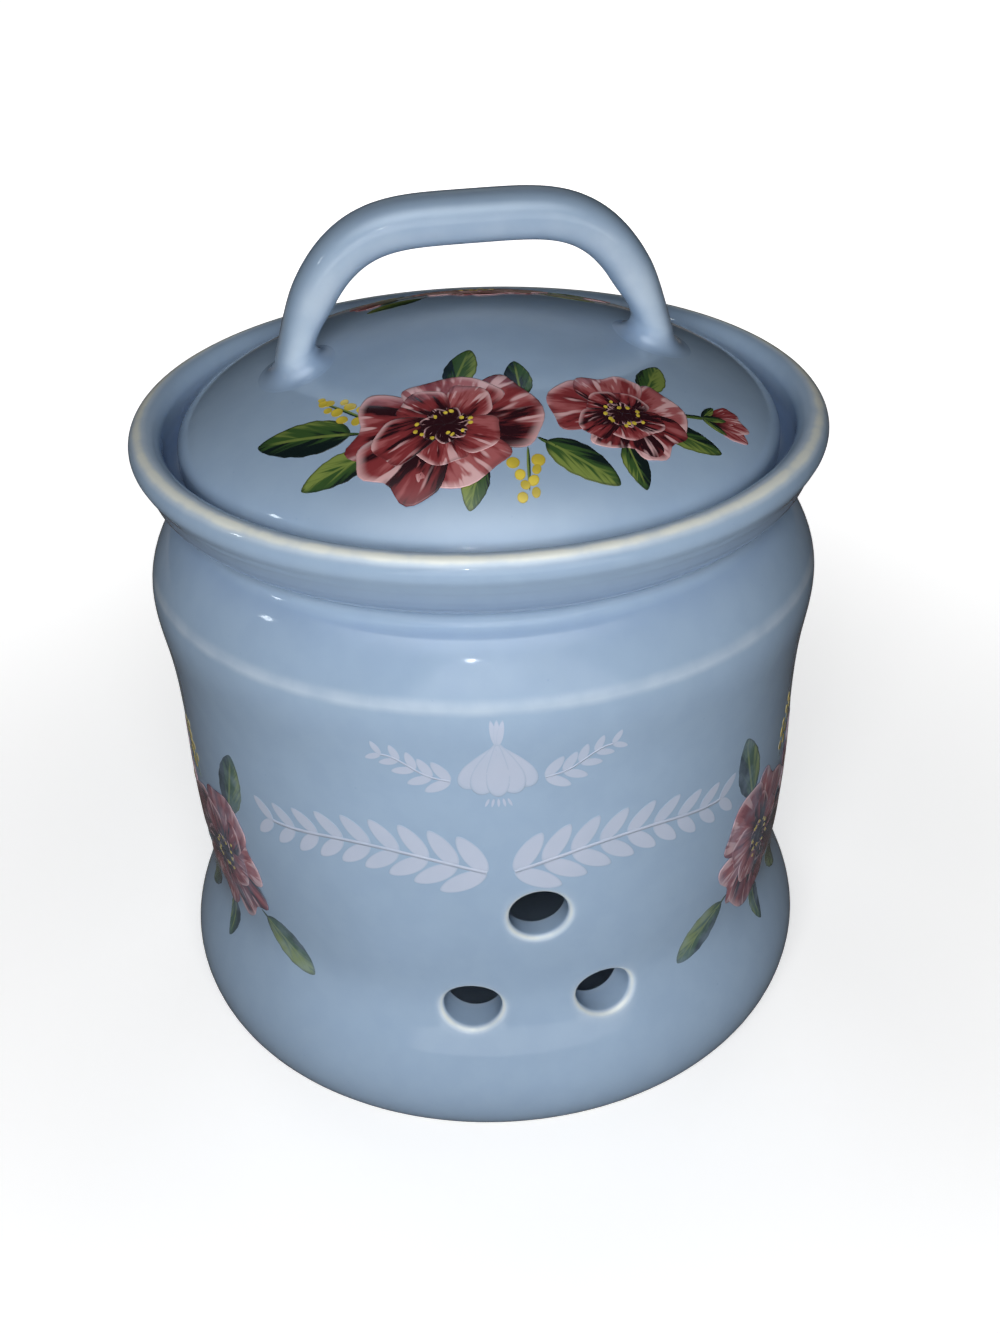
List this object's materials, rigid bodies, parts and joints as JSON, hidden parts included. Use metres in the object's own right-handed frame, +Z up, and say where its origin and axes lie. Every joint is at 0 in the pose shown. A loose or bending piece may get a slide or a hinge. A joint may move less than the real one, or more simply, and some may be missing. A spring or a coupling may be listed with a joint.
{
  "type": "garlic keeper",
  "caption": "Round vented stoneware garlic keeper with a waisted foot, rolled rim, and a domed lift-off lid with an arched handle.",
  "frame": {"origin": "centre of the foot ring, on the surface the pot stands on", "axes": "+Z up the pot's axis; -Y towards the three vents, the front; X along the handle's arch"},
  "size_m": [0.13, 0.13, 0.1675],
  "materials": {
    "blue_glaze": "clear glossy glaze over periwinkle blue, breaking to cream on the edges",
    "floral_decal": "painterly colours fired under the same clear glaze",
    "white_decal": "thin soft white fired under the same clear glaze",
    "bare_clay": "unglazed, fine-grained stoneware"
  },
  "bodies": {
    "pot": {"pot_body": "blue_glaze"},
    "lid": {"lid_dome": "blue_glaze", "lid_handle": "blue_glaze"}
  },
  "joints": [
    {"name": "lid_lift", "type": "slide", "parent": "pot", "child": "lid", "axis": [0, 0, 1], "range_m": [0, 0.08]}
  ]
}
